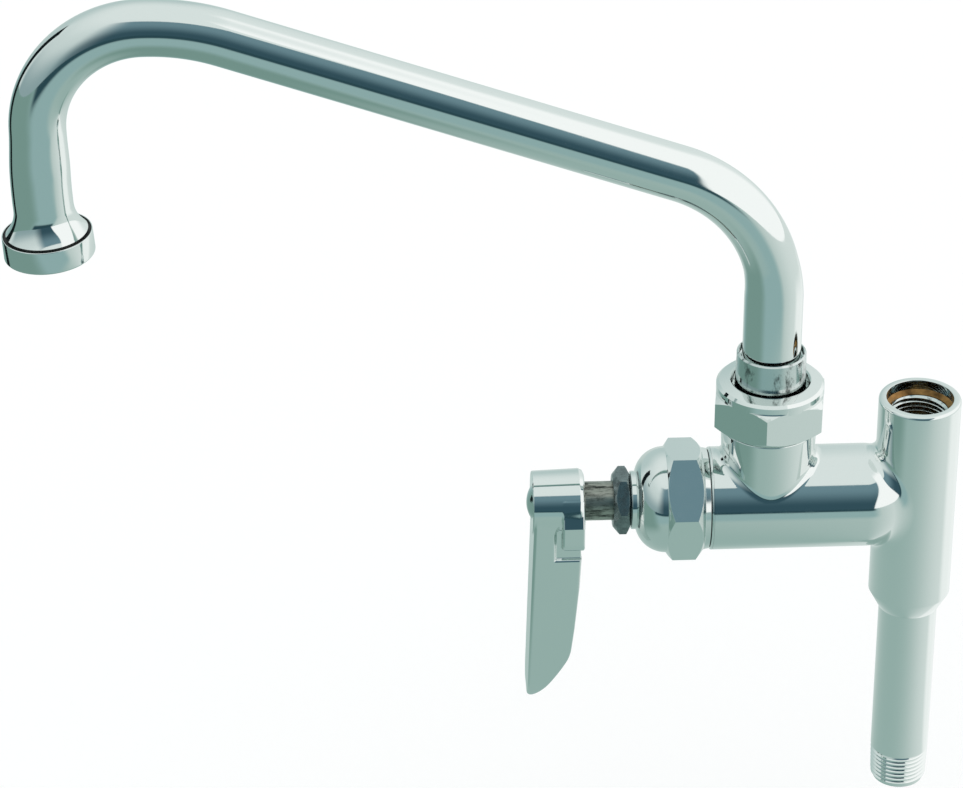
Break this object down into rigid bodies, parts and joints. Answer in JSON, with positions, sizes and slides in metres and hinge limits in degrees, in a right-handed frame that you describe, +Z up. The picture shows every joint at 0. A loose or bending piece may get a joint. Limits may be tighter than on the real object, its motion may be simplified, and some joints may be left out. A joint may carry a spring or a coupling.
{
  "type": "pre rinse add-on faucet",
  "caption": "Chrome add-on faucet for a pre-rinse unit: threaded post, side valve with a hanging lever handle, and a swing spout on a swivel nut.",
  "frame": {"origin": "on the inlet nipple's axis at the foot of its pipe thread, 0.8 mm above its chamfered end", "axes": "+Z up the post along the nipple's axis; the valve's barrel and the spout at rest run towards -X; the front is -Y"},
  "size_m": [0.2718, 0.0354, 0.2624],
  "materials": {
    "chrome": "polished chrome plate on brass",
    "worn_chrome": "scratched chrome plate on brass",
    "brass": "machined brass",
    "bare_metal": "dull grey turned metal",
    "dark_metal": "dark grey machined metal",
    "fibre": "dark fibre gasket and packing",
    "rubber": "black rubber",
    "ptfe": "white low-friction plastic"
  },
  "bodies": {
    "faucet_body": {"valve_body": "chrome", "inlet_nipple": "chrome", "valve_seat": "brass", "bonnet": "chrome", "bonnet_gasket": "fibre", "packing_washer": "brass", "stem_packing": "fibre", "packing_gland": "brass", "packing_nut": "dark_metal", "swivel_nut": "chrome", "swivel_washer": "ptfe"},
    "washer_carrier": {"washer_holder": "brass", "seat_washer": "rubber", "washer_screw": "brass"},
    "handle": {"spindle": "bare_metal", "holder_clip": "bare_metal", "lever_handle": "chrome", "handle_screw": "bare_metal", "index_button": "chrome"},
    "spout": {"spout_tube": "chrome", "swivel_sleeve": "worn_chrome", "spout_o_rings": "rubber", "outlet_ring": "chrome", "flow_straightener": "bare_metal", "outlet_gasket": "rubber"}
  },
  "joints": [
    {"name": "stem_travel", "type": "slide", "parent": "faucet_body", "child": "washer_carrier", "axis": [-1, 0, 0], "range_m": [0, 0.0024]},
    {"name": "handle_turn", "type": "hinge", "parent": "washer_carrier", "child": "handle", "pos_m": [-0.1, 0, 0.0992], "axis": [-1, 0, 0], "range_deg": [0, 270]},
    {"name": "spout_swing", "type": "hinge", "parent": "faucet_body", "child": "spout", "pos_m": [-0.0435, 0, 0.1292], "axis": [0, 0, 1], "continuous": true}
  ],
  "couplings": [
    {"joint": "stem_travel", "follows": "handle_turn", "m_per_rad": 0.000505}
  ]
}
